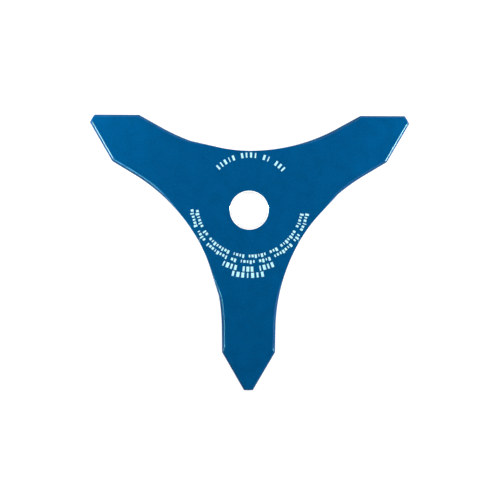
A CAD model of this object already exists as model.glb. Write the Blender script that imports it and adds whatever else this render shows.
import math
from collections import namedtuple

import bmesh
import bpy
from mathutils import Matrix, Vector, noise


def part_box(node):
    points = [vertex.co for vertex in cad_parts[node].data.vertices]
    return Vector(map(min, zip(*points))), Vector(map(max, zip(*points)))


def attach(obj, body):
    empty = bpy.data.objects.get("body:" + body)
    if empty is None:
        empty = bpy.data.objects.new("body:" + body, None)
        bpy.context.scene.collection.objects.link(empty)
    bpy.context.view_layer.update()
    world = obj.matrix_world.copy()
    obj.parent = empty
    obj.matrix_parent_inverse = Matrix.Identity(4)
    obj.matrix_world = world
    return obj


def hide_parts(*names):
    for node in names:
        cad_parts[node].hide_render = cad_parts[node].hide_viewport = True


# The looks of a three-tooth brush cutter blade, in metres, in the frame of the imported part: the origin is on
# the bore axis at half the thickness, +Z is up out of the printed face, and the first tooth points along -Y.

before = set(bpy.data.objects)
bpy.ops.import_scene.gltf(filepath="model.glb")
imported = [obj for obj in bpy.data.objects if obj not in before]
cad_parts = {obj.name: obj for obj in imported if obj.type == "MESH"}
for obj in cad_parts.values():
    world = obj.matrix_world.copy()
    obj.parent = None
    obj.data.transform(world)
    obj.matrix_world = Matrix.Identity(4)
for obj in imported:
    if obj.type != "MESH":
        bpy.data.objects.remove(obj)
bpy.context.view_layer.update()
BLADE_LOW, BLADE_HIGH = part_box("blade")
MM = 0.001

# The blade's outline, from the CAD box and a few driving dimensions
TOP = BLADE_HIGH.z
BOTTOM = BLADE_LOW.z
TOOTH_COUNT = 3
TOOTH_PITCH = 2 * math.pi / TOOTH_COUNT
TOOTH_AZIMUTHS = [index * TOOTH_PITCH - math.pi / 2 for index in range(TOOTH_COUNT)]
BAY_AZIMUTHS = [azimuth + TOOTH_PITCH / 2 for azimuth in TOOTH_AZIMUTHS]
TIP_DISTANCE = -BLADE_LOW.y
SECOND_TIP_Y = TIP_DISTANCE * math.sin(TOOTH_AZIMUTHS[1])
TIP_FLAT_WIDTH = 2 * (BLADE_HIGH.y - SECOND_TIP_Y) / math.cos(TOOTH_AZIMUTHS[1])
CUTTING_EDGE_ANGLE = math.radians(30)
WAIST_RADIUS = 41.7 * MM
BAY_RADIUS = math.hypot(TIP_DISTANCE, TIP_FLAT_WIDTH / 2)
ARM_TAPER = math.radians(1)
FACET_START = 22.5 * MM         # across from the bay's middle line
FACET_END = 41.5 * MM
FACET_SLOPE = math.radians(12.7)
BAY_END_SLOPE = math.pi / 2 - TOOTH_PITCH / 2 - ARM_TAPER

# The bore and its countersinks
BORE_RADIUS = 12.7 * MM
COUNTERSINK_WIDTH = 1.2 * MM
COUNTERSINK_DEPTH = 0.6 * MM
BORE_STEPS = 240
BORE_LIP = 0.08 * MM            # the soft edges of the countersinks
PAINT_LAP = 0.25 * MM           # how far the enamel reaches in over the countersinks
PAINTED_BORE_ROWS = 5           # of the bore's section, on each face

# The rim, as a section from the face out over the edge and down the wall
STATION_STEP = 0.4 * MM         # along the outline
CORNER_RADIUS = 0.4 * MM        # in plan, at the tips and shoulders
CORNER_STEPS = 6
KINK_STEPS = 4
BEVEL_TILT = math.radians(17.5)
CREST_RADIUS = 0.8 * MM         # between the face and a cutting edge's bevel
BEVEL_LENGTH = 0.45 * MM
EDGE_RADII = (1.2 * MM, 1.6 * MM, 2.0 * MM)    # between the bevel and the wall, on each tooth
ARM_ROUNDINGS = (2.5 * MM, 2.5 * MM, 2.2 * MM)  # rolled top edge of each arm's sides
WAIST_ROUNDING = 0.5 * MM       # the same, at the bottom of the bays
TIP_ROUNDING = 0.7 * MM
ROLL_START = 20 * MM            # across from the bay's middle line, where the roll starts to grow
ROLL_END = 50 * MM
BEVEL_RUN_OUT = 3 * MM          # past the shoulder
MITRE_FADE = 6 * MM
BOTTOM_ROUNDING = 0.3 * MM
FRACTURE_LEAN = 0.08 * MM       # the lower wall, where the stamping tore, leans in
FRACTURE_ROUGHNESS = 0.05 * MM
FRACTURE_GRAIN = 0.9 * MM
TEAR_START = 0.35               # as shares of the way down the wall
TEAR_END = 0.75
PAINT_BEAD = 0.02 * MM          # the enamel gathers a little beside the edges
BEAD_WIDTH = 1.1 * MM
WAVINESS = 0.4 * MM             # the rolled edges wander by this much
WAVE_LENGTH = 1.6 * MM
CREST_ROWS = 3
BEVEL_ROWS = 3
EDGE_ROWS = 8
WALL_ROWS = 6
BOTTOM_ROWS = 3
BEAD_ROWS = 3
SHARP_ANGLE = math.radians(30)
SLIGHT_TURN = math.radians(1)   # legs that meet at less than this need no corner
BLADE_WELD = 0.0005 * MM
LEVEL_TOLERANCE = 0.001 * MM

# The ink blocks: their roundings in plan and at the top edge
INK_CORNER = 0.14 * MM
INK_CORNER_STEPS = 3
INK_EDGE = 0.02 * MM
INK_EDGE_STEPS = 2
ROUND_PROFILE = 0.5
INK_WELD = 0.001 * MM
INK_FLAT_ANGLE = math.radians(2)

# Enamel: sizes and heights of its unevenness, and tones as shares of the blue
BLUE = (0.0003, 0.0765, 0.217)
CLOUD_SIZE = 9 * MM
CLOUD_TONES = (0.84, 1.02)
MOTTLE_SIZE = 1.6 * MM
MOTTLE_TONE = 1.3
MOTTLE_COVER = 0.4
SPECK_SPACING = 7 * MM
SPECK_REACH = (0.035, 0.06)     # shares of the spacing: a speck is full up to the first, gone at the second
SPECK_COVER = 0.3
SPECK_COLOUR = (0.06, 0.25, 0.45)
PEEL_SIZE = 2.2 * MM
PEEL_HEIGHT = 0.013 * MM
GRIT_SIZE = 0.5 * MM
GRIT_HEIGHT = 0.003 * MM
GLOSS_SIZE = 14 * MM
ENAMEL_ROUGHNESS = (0.06, 0.09)

# Bare steel
STEEL = (0.78, 0.79, 0.80)
PATCH_SIZE = 1.5 * MM
PATCH_TONE = 0.8
PATCH_RANGE = (0.35, 0.7)
TURNING_PITCH = 0.08 * MM
TURNING_HEIGHT = 0.003 * MM
STEEL_ROUGHNESS = (0.10, 0.15)

# Ink colour and finish
INK_WHITE = (0.55, 0.90, 0.96)
THIN_INK = (0.36, 0.74, 0.86)
COVER_SIZE = 0.7 * MM
COVER_RANGE = (0.3, 0.6)
COVER_HEIGHT = 0.01 * MM
INK_ROUGHNESS = (0.55, 0.42)    # where the cover is thin and where it is full

NOISE_RANGE = (0.3, 0.7)        # where most of a noise texture's values lie

# The photographer's table
CAMERA_PLACE = (-4 * MM, 11.1 * MM, 0.831)
CAMERA_TURN = tuple(math.radians(angle) for angle in (-2.70, -0.31, 0.283))
LENS = 85
FLOOR_SIZE = 8.0
FLOOR_HEIGHT = BOTTOM + 0.05 * MM   # just above the underside, so that the two planes don't coincide
BACKDROP_RADIUS = 3.8
BACKDROP_SEGMENTS = 64
BACKDROP_RINGS = 32
CLOTH_SIZE = 400 * MM
CLOTH_TONES = (0.29, 0.31)
CLOTH_ROUGHNESS = 0.9
CLOTH_GLOW = 0.85
WHITE = (1.0, 1.0, 1.0)
COOL_WHITE = (0.60, 1.0, 0.90)
WINDOW_BLUE = (0.25, 0.85, 1.0)
LAMPS = {
    # lamp: place, side, radiance, colour, seen in reflections, lights surfaces
    "left_key": ((-0.331, -0.049, 0.30), 0.07, 28.0, COOL_WHITE, True, False),
    "right_key": ((0.334, -0.049, 0.30), 0.07, 34.0, COOL_WHITE, True, False),
    "window": ((-0.290, -0.220, 0.60), 0.12, 36.0, WINDOW_BLUE, True, False),
    "left_side": ((-0.50, 0.12, 0.20), 0.10, 55.0, WHITE, False, True),
    "right_side": ((0.50, 0.12, 0.20), 0.10, 126.0, WHITE, False, True),
    "left_fill": ((-0.20, 0.08, 0.07), 0.06, 14.5, WHITE, False, True),
    # under the floor, for views from below
    "below": ((0.30, -0.30, -0.60), 0.30, 26.0, WHITE, False, True),
}

# How bright the room is from the horizon (0) to straight up (1)
SKY = (
    (0.0, 0.05),
    (0.04, 0.9),
    (0.12, 0.9),
    (0.18, 0.03),
    (0.49, 0.03),
    (0.52, 1.75),
    (0.67, 1.75),
    (0.70, 0.001),
    (1.0, 0.001),
)

Leg = namedtuple("Leg", "kind start end turn")
Station = namedtuple("Station", "place outer inner bevel rounding")


def polar(azimuth, length=1.0):
    return Vector((math.cos(azimuth), math.sin(azimuth))) * length


def in_plan(azimuth, outward, left):
    """A point given along an azimuth and to the left of it."""
    return polar(azimuth, outward) + polar(azimuth + math.pi / 2, left)


def mix(a, b, share):
    return a + (b - a) * share


def smooth_step(low, high, value):
    share = min(1.0, max(0.0, (value - low) / (high - low)))
    return share * share * (3 - 2 * share)


def ripple(place, length, height=0.0):
    """Smooth noise from -1 to 1 that depends on the place only."""
    return noise.noise(Vector((place.x, place.y, height)) / length)


# ---- the outline ----


def tangent_point():
    """Where a bay meets a straight arm side: outward from the bore, and across from the bay's middle line."""
    outward = WAIST_RADIUS + BAY_RADIUS * (1 - math.cos(BAY_END_SLOPE))
    return outward, BAY_RADIUS * math.sin(BAY_END_SLOPE)


def shoulder():
    """Where an arm's side meets its cutting edge: outward along the arm, and half the arm's width there."""
    bay_outward, bay_across = tangent_point()
    half_pitch = TOOTH_PITCH / 2
    root_outward = bay_outward * math.cos(half_pitch) + bay_across * math.sin(half_pitch)
    root_half_width = bay_outward * math.sin(half_pitch) - bay_across * math.cos(half_pitch)
    side_line = root_half_width + root_outward * math.tan(ARM_TAPER)
    edge_line = TIP_FLAT_WIDTH / 2 + TIP_DISTANCE * math.tan(CUTTING_EDGE_ANGLE)
    outward = (edge_line - side_line) / (math.tan(CUTTING_EDGE_ANGLE) - math.tan(ARM_TAPER))
    return outward, side_line - outward * math.tan(ARM_TAPER)


def tooth_and_bay(tooth):
    """The outline from a tooth's clockwise shoulder to the next one's, as straight and curved legs."""
    bay = tooth + TOOTH_PITCH / 2
    shoulder_outward, half_width = shoulder()
    bay_outward, bay_across = tangent_point()
    floor_radius = FACET_START / math.sin(FACET_SLOPE)
    facet_start = WAIST_RADIUS + floor_radius * (1 - math.cos(FACET_SLOPE))
    facet_end = facet_start + (FACET_END - FACET_START) * math.tan(FACET_SLOPE)
    chord_slope = math.atan2(bay_outward - facet_end, bay_across - FACET_END)
    points = [
        in_plan(tooth, shoulder_outward, -half_width),
        in_plan(tooth, TIP_DISTANCE, -TIP_FLAT_WIDTH / 2),
        in_plan(tooth, TIP_DISTANCE, TIP_FLAT_WIDTH / 2),
        in_plan(tooth, shoulder_outward, half_width),
        in_plan(bay, bay_outward, -bay_across),
        in_plan(bay, WAIST_RADIUS, 0),
        in_plan(bay, facet_start, FACET_START),
        in_plan(bay, facet_end, FACET_END),
        in_plan(bay, bay_outward, bay_across),
        in_plan(tooth + TOOTH_PITCH, shoulder_outward, -half_width),
    ]
    kinds = ["cutting", "tip", "cutting"] + ["side"] * 6
    turns = [0, 0, 0, 0, -BAY_END_SLOPE, -FACET_SLOPE, 0, -2 * (BAY_END_SLOPE - chord_slope), 0]
    return [Leg(*parts) for parts in zip(kinds, points, points[1:], turns)]


def headings(leg):
    """The leg's direction at its start and at its end."""
    chord = leg.end - leg.start
    middle = math.atan2(chord.y, chord.x)
    return middle - leg.turn / 2, middle + leg.turn / 2


def turn_between(before, after):
    angle = headings(after)[0] - headings(before)[1]
    return (angle + math.pi) % (2 * math.pi) - math.pi


def nearest(place, azimuths):
    """The number of the azimuth that a place lies furthest out along."""
    return max(range(len(azimuths)), key=lambda index: place.dot(polar(azimuths[index])))


def rounding_at(place):
    """The radius of the rolled top edge of a bay or arm side."""
    bay = BAY_AZIMUTHS[nearest(place, BAY_AZIMUTHS)]
    across = abs(place.dot(polar(bay + math.pi / 2)))
    arm_rounding = ARM_ROUNDINGS[nearest(place, TOOTH_AZIMUTHS)]
    return mix(WAIST_ROUNDING, arm_rounding, smooth_step(ROLL_START, ROLL_END, across))


def place_on(leg, share):
    """A place part of the way along a leg, and the leg's direction there."""
    start_heading, end_heading = headings(leg)
    heading = mix(start_heading, end_heading, share)
    if leg.turn:
        radius = (leg.end - leg.start).length / (2 * math.sin(leg.turn / 2))
        centre = leg.start + polar(start_heading + math.pi / 2, radius)
        return centre + polar(heading - math.pi / 2, radius), heading
    return leg.start.lerp(leg.end, share), heading


def bevel_at(leg, along, turn_in, turn_out):
    """How far the edge is ground to a cutting edge, from 0 to 1, at a distance along a leg."""
    length = (leg.end - leg.start).length
    if leg.kind == "cutting":
        return 1.0
    if leg.kind == "tip":
        return smooth_step(0, length / 2, abs(along - length / 2))
    from_start = along if turn_in > 0 else math.inf
    from_end = length - along if turn_out > 0 else math.inf
    return 1 - smooth_step(0, BEVEL_RUN_OUT, min(from_start, from_end))


def leg_stations(leg, turn_in, turn_out):
    """Stations along one leg, with its ends pulled back from the rounded corners."""
    length = (leg.end - leg.start).length
    trims = [CORNER_RADIUS * math.tan(turn / 2) if turn > 0 else 0.0 for turn in (turn_in, turn_out)]
    fade = min(MITRE_FADE, length / 2 - max(trims))
    steps = math.ceil(length / STATION_STEP)
    stations = []
    for step in range(steps + 1):
        along = mix(trims[0], length - trims[1], step / steps)
        place, heading = place_on(leg, along / length)
        inward = polar(heading + math.pi / 2)
        # Near a corner, the rows past its radius lean so that both legs' rows meet on its bisector.
        inner = inward.copy()
        from_start = along - trims[0]
        from_end = length - along - trims[1]
        if turn_in > 0:
            inner += polar(heading) * math.tan(turn_in / 2) * max(0.0, 1 - from_start / fade)
        if turn_out > 0:
            inner -= polar(heading) * math.tan(turn_out / 2) * max(0.0, 1 - from_end / fade)
        bevel = bevel_at(leg, along, turn_in, turn_out)
        rounding = TIP_ROUNDING if leg.kind == "tip" else rounding_at(place)
        stations.append(Station(place, inward, inner, bevel, rounding))
    return stations


def corner_stations(corner, heading, turn, rounding):
    """Stations round a corner: an arc where it points out, and one point where it points in."""
    bisector = polar(heading + turn / 2 + math.pi / 2) / math.cos(turn / 2)
    stations = []
    steps = CORNER_STEPS if turn > 0 else KINK_STEPS
    for step in range(1, steps):
        inward = polar(heading + turn * step / steps + math.pi / 2)
        if turn > 0:
            place = corner + (bisector - inward) * CORNER_RADIUS
            stations.append(Station(place, inward, bisector, 1.0, rounding))
        else:
            stations.append(Station(corner, inward, inward, 0.0, rounding))
    return stations


def outline():
    """Stations round the whole blade, counter-clockwise."""
    legs = []
    for tooth in TOOTH_AZIMUTHS:
        legs += tooth_and_bay(tooth)
    stations = []
    for index, leg in enumerate(legs):
        before = legs[index - 1]
        after = legs[(index + 1) % len(legs)]
        turn_in = turn_between(before, leg)
        turn_out = turn_between(leg, after)
        found = leg_stations(leg, turn_in, turn_out)
        if abs(turn_out) > SLIGHT_TURN:
            stations += found
            stations += corner_stations(leg.end, headings(leg)[1], turn_out, found[-1].rounding)
        else:
            stations += found[:-1]
    return stations


# ---- the blade ----


def upper_section(station):
    """The rim from the face to the wall at one station: inset from the outline, height and tilt."""
    crest = mix(station.rounding, CREST_RADIUS, station.bevel)
    edge = mix(station.rounding, EDGE_RADII[nearest(station.place, TOOTH_AZIMUTHS)], station.bevel)
    length = BEVEL_LENGTH * station.bevel
    sin_tilt = math.sin(BEVEL_TILT)
    cos_tilt = math.cos(BEVEL_TILT)
    width = crest * sin_tilt + length * cos_tilt + edge * (1 - sin_tilt)
    rows = []
    for row in range(BEAD_ROWS + 1):
        share = row / BEAD_ROWS
        bead = PAINT_BEAD * math.sin(math.pi * share) ** 2
        rows.append((width + BEAD_WIDTH * (1 - share), TOP + bead, 0.0))
    for row in range(1, CREST_ROWS + 1):
        tilt = BEVEL_TILT * row / CREST_ROWS
        rows.append((width - crest * math.sin(tilt), TOP - crest * (1 - math.cos(tilt)), tilt))
    inset, height, tilt = rows[-1]
    for row in range(1, BEVEL_ROWS + 1):
        down = length * row / BEVEL_ROWS
        rows.append((inset - down * cos_tilt, height - down * sin_tilt, tilt))
    inset, height, tilt = rows[-1]
    for row in range(1, EDGE_ROWS + 1):
        tilt = mix(BEVEL_TILT, math.pi / 2, row / EDGE_ROWS)
        out = edge * (math.sin(tilt) - sin_tilt)
        down = edge * (cos_tilt - math.cos(tilt))
        rows.append((inset - out, height - down, tilt))
    return rows


def section(station):
    """The whole rim at one station, from the face to the underside: inset from the outline and height."""
    unground = 1 - station.bevel
    wave = WAVINESS / 2 * unground * ripple(station.place, WAVE_LENGTH)
    rows = [(inset + wave * math.cos(tilt), height) for inset, height, tilt in upper_section(station)]
    inset, height = rows[-1]
    foot = BOTTOM + BOTTOM_ROUNDING
    for row in range(1, WALL_ROWS + 1):
        share = row / WALL_ROWS
        level = mix(height, foot, share)
        torn = smooth_step(TEAR_START, TEAR_END, share)
        grain = FRACTURE_ROUGHNESS * unground * ripple(station.place, FRACTURE_GRAIN, level)
        rows.append((inset + torn * (FRACTURE_LEAN + grain), level))
    inset, height = rows[-1]
    for row in range(1, BOTTOM_ROWS + 1):
        tilt = math.pi / 2 * row / BOTTOM_ROWS
        inward = BOTTOM_ROUNDING * (1 - math.cos(tilt))
        rows.append((inset + inward, height - BOTTOM_ROUNDING * math.sin(tilt)))
    rows.append((inset + 2 * BEAD_WIDTH, BOTTOM))
    return rows


def rim_point(station, inset, height):
    near = min(inset, CORNER_RADIUS)
    far = inset - near
    place = station.place + station.outer * near + station.inner * far
    return Vector((place.x, place.y, height))


def bore_rows():
    """The bore's section from the top face to the bottom face: radius and height."""
    mouth = BORE_RADIUS + COUNTERSINK_WIDTH
    slope = COUNTERSINK_DEPTH / COUNTERSINK_WIDTH
    throat = TOP - COUNTERSINK_DEPTH
    lip_drop = BORE_LIP * slope
    half = [
        (mouth + BEAD_WIDTH, TOP),
        (mouth + BORE_LIP, TOP),
        (mouth, TOP - lip_drop / 4),
        (mouth - BORE_LIP, TOP - lip_drop),
        (mouth - PAINT_LAP, TOP - PAINT_LAP * slope),
        (BORE_RADIUS + 2 * BORE_LIP, throat + 2 * lip_drop),
        (BORE_RADIUS + BORE_LIP, throat + lip_drop),
        (BORE_RADIUS, throat - BORE_LIP),
        (BORE_RADIUS, throat - 4 * BORE_LIP),
    ]
    return half + [(radius, TOP + BOTTOM - height) for radius, height in reversed(half)]


def mesh_from(bm, name):
    mesh = bpy.data.meshes.new(name)
    bm.to_mesh(mesh)
    bm.free()
    return mesh


def add_object(name, data):
    added = bpy.data.objects.new(name, data)
    bpy.context.scene.collection.objects.link(added)
    return added


def join_rings(bm, rings, material):
    """Quads between closed rings of vertices that have the same count."""
    for ring, following in zip(rings, rings[1:]):
        count = len(ring)
        for index in range(count):
            after = (index + 1) % count
            face = bm.faces.new((ring[index], following[index], following[after], ring[after]))
            face.material_index = material
            face.smooth = True


def close_face(bm, height):
    """Fills between the rim's open edge and the bore's open edge at a height."""
    open_edges = [edge for edge in bm.edges if edge.is_boundary]
    edges = [edge for edge in open_edges if abs(edge.verts[0].co.z - height) < LEVEL_TOLERANCE]
    filled = bmesh.ops.triangle_fill(bm, use_beauty=True, use_dissolve=False, edges=edges)
    for face in filled["geom"]:
        if isinstance(face, bmesh.types.BMFace):
            face.material_index = 0
            face.smooth = True


def blade_mesh():
    """The blade as one closed mesh. Material 0 is the enamel and material 1 the bare steel."""
    bm = bmesh.new()
    stations = outline()
    sections = [section(station) for station in stations]
    rim = []
    for row in range(len(sections[0])):
        rim.append([bm.verts.new(rim_point(st, *sec[row])) for st, sec in zip(stations, sections)])
    join_rings(bm, rim, 0)
    turn = [2 * math.pi * step / BORE_STEPS for step in range(BORE_STEPS)]
    bore = []
    for radius, height in bore_rows():
        bore.append([bm.verts.new((radius * math.cos(a), radius * math.sin(a), height)) for a in turn])
    painted = PAINTED_BORE_ROWS
    join_rings(bm, bore[:painted][::-1], 0)
    join_rings(bm, bore[painted - 1:1 - painted][::-1], 1)
    join_rings(bm, bore[-painted:][::-1], 0)
    bmesh.ops.remove_doubles(bm, verts=bm.verts, dist=BLADE_WELD)
    close_face(bm, TOP)
    close_face(bm, BOTTOM)
    bmesh.ops.recalc_face_normals(bm, faces=bm.faces)
    mesh = mesh_from(bm, "blade_visual")
    mesh.set_sharp_from_angle(angle=SHARP_ANGLE)
    return mesh


def make_piece(name, mesh, node, materials):
    piece = add_object(name, mesh)
    for material in materials:
        mesh.materials.append(material)
    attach(piece, "root")
    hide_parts(node)


def round_edges(bm, edges, radius, steps):
    bmesh.ops.bevel(bm, geom=edges, offset=radius, segments=steps, profile=ROUND_PROFILE, affect="EDGES")


def make_print(node, material):
    """One row of ink: the CAD blocks with their corners rounded."""
    bm = bmesh.new()
    bm.from_mesh(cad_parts[node].data)
    bmesh.ops.remove_doubles(bm, verts=bm.verts, dist=INK_WELD)
    bmesh.ops.dissolve_limit(bm, angle_limit=INK_FLAT_ANGLE, verts=bm.verts, edges=bm.edges)
    upright = [edge for edge in bm.edges if abs(edge.verts[0].co.z - edge.verts[1].co.z) > INK_EDGE]
    round_edges(bm, upright, INK_CORNER, INK_CORNER_STEPS)
    top = max(vertex.co.z for vertex in bm.verts)
    rim = [edge for edge in bm.edges if min(v.co.z for v in edge.verts) > top - INK_EDGE]
    round_edges(bm, rim, INK_EDGE, INK_EDGE_STEPS)
    mesh = mesh_from(bm, node + "_visual")
    mesh.materials.clear()
    mesh.set_sharp_from_angle(angle=SHARP_ANGLE)
    make_piece(node + "_ink", mesh, node, [material])


# ---- materials ----


def new_material(name):
    """A material with its nodes, links and shader, and the place on the piece in metres."""
    material = bpy.data.materials.new(name)
    material.use_nodes = True
    nodes = material.node_tree.nodes
    place = nodes.new("ShaderNodeTexCoord").outputs["Object"]
    return material, nodes, material.node_tree.links, nodes["Principled BSDF"], place


def add_noise(nodes, links, place, size, detail):
    texture = nodes.new("ShaderNodeTexNoise")
    texture.inputs["Scale"].default_value = 1 / size
    texture.inputs["Detail"].default_value = detail
    links.new(place, texture.inputs["Vector"])
    return texture.outputs["Fac"]


def add_spots(nodes, links, place, spacing):
    """The distance from the nearest of many scattered points, as a share of their spacing."""
    texture = nodes.new("ShaderNodeTexVoronoi")
    texture.inputs["Scale"].default_value = 1 / spacing
    links.new(place, texture.inputs["Vector"])
    return texture.outputs["Distance"]


def add_range(nodes, links, value, from_range, to_range):
    node = nodes.new("ShaderNodeMapRange")
    node.inputs["From Min"].default_value, node.inputs["From Max"].default_value = from_range
    node.inputs["To Min"].default_value, node.inputs["To Max"].default_value = to_range
    links.new(value, node.inputs["Value"])
    return node.outputs["Result"]


def add_mix(nodes, links, share, first, second):
    """A mix of two colours, each of which is a plain colour or another node's output."""
    node = nodes.new("ShaderNodeMix")
    node.data_type = "RGBA"
    links.new(share, node.inputs["Factor"])
    for socket, colour in ((node.inputs[6], first), (node.inputs[7], second)):
        if isinstance(colour, bpy.types.NodeSocket):
            links.new(colour, socket)
        else:
            socket.default_value = (*colour, 1.0)
    return node.outputs[2]


def add_bump(nodes, links, height, distance, strength, normal=None):
    node = nodes.new("ShaderNodeBump")
    node.inputs["Distance"].default_value = distance
    node.inputs["Strength"].default_value = strength
    links.new(height, node.inputs["Height"])
    if normal is not None:
        links.new(normal, node.inputs["Normal"])
    return node.outputs["Normal"]


def scaled(colour, share):
    return tuple(part * share for part in colour)


def enamel():
    """Glossy blue stoving enamel: clouds and mottle in the colour, orange peel and a few pale specks."""
    material, nodes, links, shader, place = new_material("blue_enamel")
    clouds = add_noise(nodes, links, place, CLOUD_SIZE, detail=3.0)
    cloud_share = add_range(nodes, links, clouds, NOISE_RANGE, (0.0, 1.0))
    colour = add_mix(nodes, links, cloud_share, *[scaled(BLUE, tone) for tone in CLOUD_TONES])
    mottle = add_noise(nodes, links, place, MOTTLE_SIZE, detail=2.0)
    mottle_share = add_range(nodes, links, mottle, NOISE_RANGE, (0.0, MOTTLE_COVER))
    colour = add_mix(nodes, links, mottle_share, colour, scaled(BLUE, MOTTLE_TONE))
    specks = add_spots(nodes, links, place, SPECK_SPACING)
    speck_share = add_range(nodes, links, specks, SPECK_REACH, (SPECK_COVER, 0.0))
    colour = add_mix(nodes, links, speck_share, colour, SPECK_COLOUR)
    links.new(colour, shader.inputs["Base Color"])
    peel = add_noise(nodes, links, place, PEEL_SIZE, detail=2.0)
    grit = add_noise(nodes, links, place, GRIT_SIZE, detail=1.0)
    normal = add_bump(nodes, links, peel, PEEL_HEIGHT, strength=0.6)
    normal = add_bump(nodes, links, grit, GRIT_HEIGHT, strength=0.5, normal=normal)
    links.new(normal, shader.inputs["Normal"])
    gloss = add_noise(nodes, links, place, GLOSS_SIZE, detail=3.0)
    links.new(add_range(nodes, links, gloss, NOISE_RANGE, ENAMEL_ROUGHNESS), shader.inputs["Roughness"])
    return material


def bare_steel():
    """The bore and its countersinks, turned bright after painting."""
    material, nodes, links, shader, place = new_material("bare_steel")
    shader.inputs["Metallic"].default_value = 1.0
    patches = add_noise(nodes, links, place, PATCH_SIZE, detail=4.0)
    patch_share = add_range(nodes, links, patches, PATCH_RANGE, (0.0, 1.0))
    colour = add_mix(nodes, links, patch_share, STEEL, scaled(STEEL, PATCH_TONE))
    links.new(colour, shader.inputs["Base Color"])
    split = nodes.new("ShaderNodeSeparateXYZ")
    links.new(place, split.inputs["Vector"])
    turning = nodes.new("ShaderNodeTexNoise")
    turning.noise_dimensions = "1D"
    turning.inputs["Scale"].default_value = 1 / TURNING_PITCH
    links.new(split.outputs["Z"], turning.inputs["W"])
    normal = add_bump(nodes, links, turning.outputs["Fac"], TURNING_HEIGHT, strength=0.5)
    links.new(normal, shader.inputs["Normal"])
    links.new(add_range(nodes, links, patches, NOISE_RANGE, STEEL_ROUGHNESS), shader.inputs["Roughness"])
    return material


def ink():
    """Screen-printed white ink, a little thin in places."""
    material, nodes, links, shader, place = new_material("white_ink")
    cover = add_noise(nodes, links, place, COVER_SIZE, detail=3.0)
    cover_share = add_range(nodes, links, cover, COVER_RANGE, (0.0, 1.0))
    colour = add_mix(nodes, links, cover_share, THIN_INK, INK_WHITE)
    links.new(colour, shader.inputs["Base Color"])
    normal = add_bump(nodes, links, cover, COVER_HEIGHT, strength=0.5)
    links.new(normal, shader.inputs["Normal"])
    links.new(add_range(nodes, links, cover, NOISE_RANGE, INK_ROUGHNESS), shader.inputs["Roughness"])
    return material


def pale_cloth():
    """The lit white of the table and the backdrop."""
    material, nodes, links, shader, place = new_material("pale_cloth")
    weave = add_noise(nodes, links, place, CLOTH_SIZE, detail=2.0)
    weave_share = add_range(nodes, links, weave, NOISE_RANGE, (0.0, 1.0))
    colour = add_mix(nodes, links, weave_share, *[scaled(WHITE, tone) for tone in CLOTH_TONES])
    links.new(colour, shader.inputs["Base Color"])
    shader.inputs["Roughness"].default_value = CLOTH_ROUGHNESS
    shader.inputs["Emission Color"].default_value = (*WHITE, 1.0)
    shader.inputs["Emission Strength"].default_value = CLOTH_GLOW
    return material


# ---- floor, lamps and camera ----


def make_floor(material):
    mesh = bpy.data.meshes.new("floor")
    half = FLOOR_SIZE / 2
    corners = [(x * half, y * half, FLOOR_HEIGHT) for x, y in ((-1, -1), (1, -1), (1, 1), (-1, 1))]
    mesh.from_pydata(corners, [], [(0, 1, 2, 3)])
    mesh.materials.append(material)
    floor = add_object("floor", mesh)
    floor.visible_glossy = False


def make_backdrop(material):
    """A pale screen round and over the table. It neither lights the blade nor shades it."""
    bm = bmesh.new()
    bmesh.ops.create_uvsphere(
        bm, u_segments=BACKDROP_SEGMENTS, v_segments=BACKDROP_RINGS, radius=BACKDROP_RADIUS
    )
    mesh = mesh_from(bm, "backdrop")
    mesh.materials.append(material)
    backdrop = add_object("backdrop", mesh)
    backdrop.visible_diffuse = False
    backdrop.visible_glossy = False
    backdrop.visible_shadow = False


def make_lamp(name, place, side, radiance, colour, reflected, lighting):
    """A square lamp that faces the blade. Its power follows from how bright its surface is."""
    data = bpy.data.lights.new(name, "AREA")
    data.shape = "SQUARE"
    data.size = side
    data.energy = radiance * math.pi * side ** 2
    data.color = colour
    lamp = add_object(name, data)
    lamp.location = place
    lamp.rotation_mode = "QUATERNION"
    lamp.rotation_quaternion = (-Vector(place)).to_track_quat("-Z", "Y")
    lamp.visible_camera = False
    lamp.visible_glossy = reflected
    lamp.visible_diffuse = lighting


def make_world():
    """A room with a pale strip low on its walls, a brighter one higher up, and an unlit ceiling."""
    world = bpy.data.worlds.new("studio")
    world.use_nodes = True
    bpy.context.scene.world = world
    nodes = world.node_tree.nodes
    links = world.node_tree.links
    direction = nodes.new("ShaderNodeTexCoord").outputs["Generated"]
    split = nodes.new("ShaderNodeSeparateXYZ")
    links.new(direction, split.inputs["Vector"])
    ramp = nodes.new("ShaderNodeValToRGB")
    stops = ramp.color_ramp.elements
    for height, _ in SKY[1:-1]:     # the ramp has its two ends already
        stops.new(height)
    for stop, (_, level) in zip(stops, SKY):
        stop.color = (level, level, level, 1.0)
    links.new(split.outputs["Z"], ramp.inputs["Fac"])
    links.new(ramp.outputs["Color"], nodes["Background"].inputs["Color"])


def make_camera():
    data = bpy.data.cameras.new("camera")
    data.lens = LENS
    camera = add_object("camera", data)
    camera.location = CAMERA_PLACE
    camera.rotation_euler = CAMERA_TURN
    bpy.context.scene.camera = camera


make_camera()
make_world()
table_white = pale_cloth()
make_floor(table_white)
make_backdrop(table_white)
for lamp_name, settings in LAMPS.items():
    make_lamp(lamp_name, *settings)
bpy.context.scene.view_settings.view_transform = "Standard"

make_piece("blade_body", blade_mesh(), "blade", [enamel(), bare_steel()])
white_ink = ink()
for print_node in sorted(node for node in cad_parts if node.startswith("print_")):
    make_print(print_node, white_ink)
